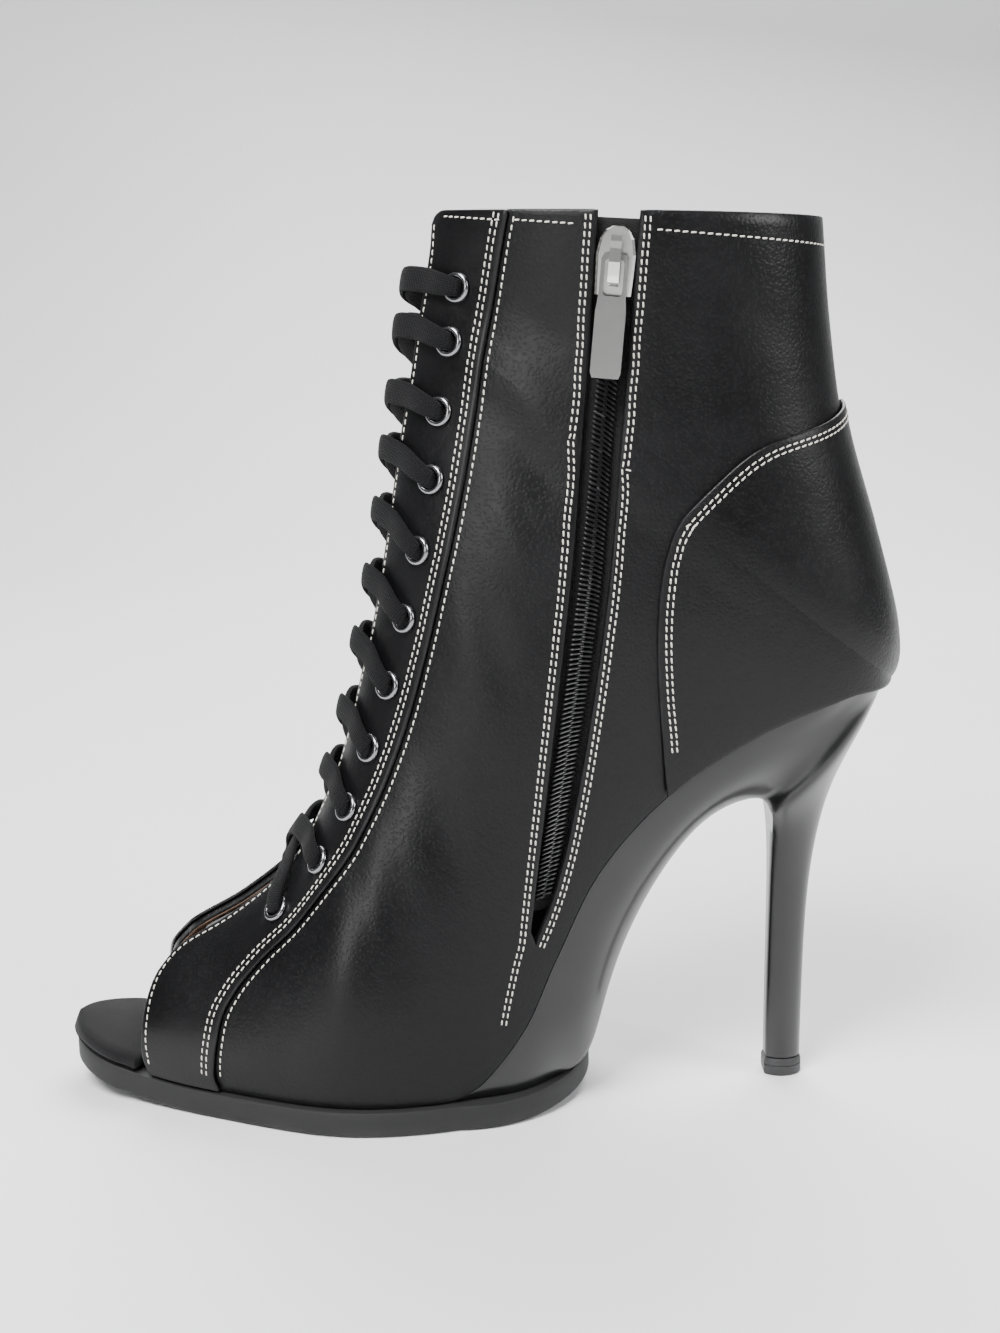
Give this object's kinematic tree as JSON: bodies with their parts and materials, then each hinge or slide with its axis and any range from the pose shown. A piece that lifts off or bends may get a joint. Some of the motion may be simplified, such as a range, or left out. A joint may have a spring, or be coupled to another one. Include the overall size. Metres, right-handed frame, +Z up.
{
  "type": "lace-up ankle boot",
  "caption": "Open-toed lace-up ankle boot on a slim high heel, with rows of eyelets up the front, a zip on the inner side and a shaped heel counter.",
  "frame": {"origin": "on the floor, under the middle of the box round the shoe", "axes": "+Z up, toe towards -X, heel towards +X, the inner side with the zip faces -Y"},
  "size_m": [0.2265, 0.0792, 0.2349],
  "materials": {
    "leather": "semi-gloss fine grain",
    "facing_leather": "smooth semi-gloss",
    "heel_lacquer": "satin",
    "outsole_rubber": "matte",
    "tip_rubber": "matte",
    "insole_suede": "soft nap",
    "tongue_cloth": "satin",
    "eyelet_metal": "dark polished metal",
    "lace_cotton": "flat woven cotton",
    "zip_tape": "woven tape",
    "zip_coil": "nylon coil",
    "zip_metal": "polished nickel"
  },
  "bodies": {
    "boot": {"outsole": "outsole_rubber", "insole": "insole_suede", "heel": "heel_lacquer", "heel_tip": "tip_rubber", "upper": "leather", "tongue": "tongue_cloth", "facing_inner": "facing_leather", "facing_outer": "facing_leather", "heel_counter": "leather", "lace_crossings": "lace_cotton", "zip_tape": "zip_tape", "zip_chain": "zip_coil", "zip_slider": "zip_metal", "eyelet_inner_01": "eyelet_metal", "eyelet_inner_02": "eyelet_metal", "eyelet_inner_03": "eyelet_metal", "eyelet_inner_04": "eyelet_metal", "eyelet_inner_05": "eyelet_metal", "eyelet_inner_06": "eyelet_metal", "eyelet_inner_07": "eyelet_metal", "eyelet_inner_08": "eyelet_metal", "eyelet_inner_09": "eyelet_metal", "eyelet_inner_10": "eyelet_metal", "eyelet_inner_11": "eyelet_metal", "eyelet_outer_01": "eyelet_metal", "eyelet_outer_02": "eyelet_metal", "eyelet_outer_03": "eyelet_metal", "eyelet_outer_04": "eyelet_metal", "eyelet_outer_05": "eyelet_metal", "eyelet_outer_06": "eyelet_metal", "eyelet_outer_07": "eyelet_metal", "eyelet_outer_08": "eyelet_metal", "eyelet_outer_09": "eyelet_metal", "eyelet_outer_10": "eyelet_metal", "eyelet_outer_11": "eyelet_metal"},
    "pull": {"zip_pull": "zip_metal"}
  },
  "joints": [
    {"name": "pull_hinge", "type": "hinge", "parent": "boot", "child": "pull", "pos_m": [0.03595, -0.0293, 0.22309], "axis": [-0.9896, 0.1129, 0.0896], "range_deg": [0, 150]}
  ]
}
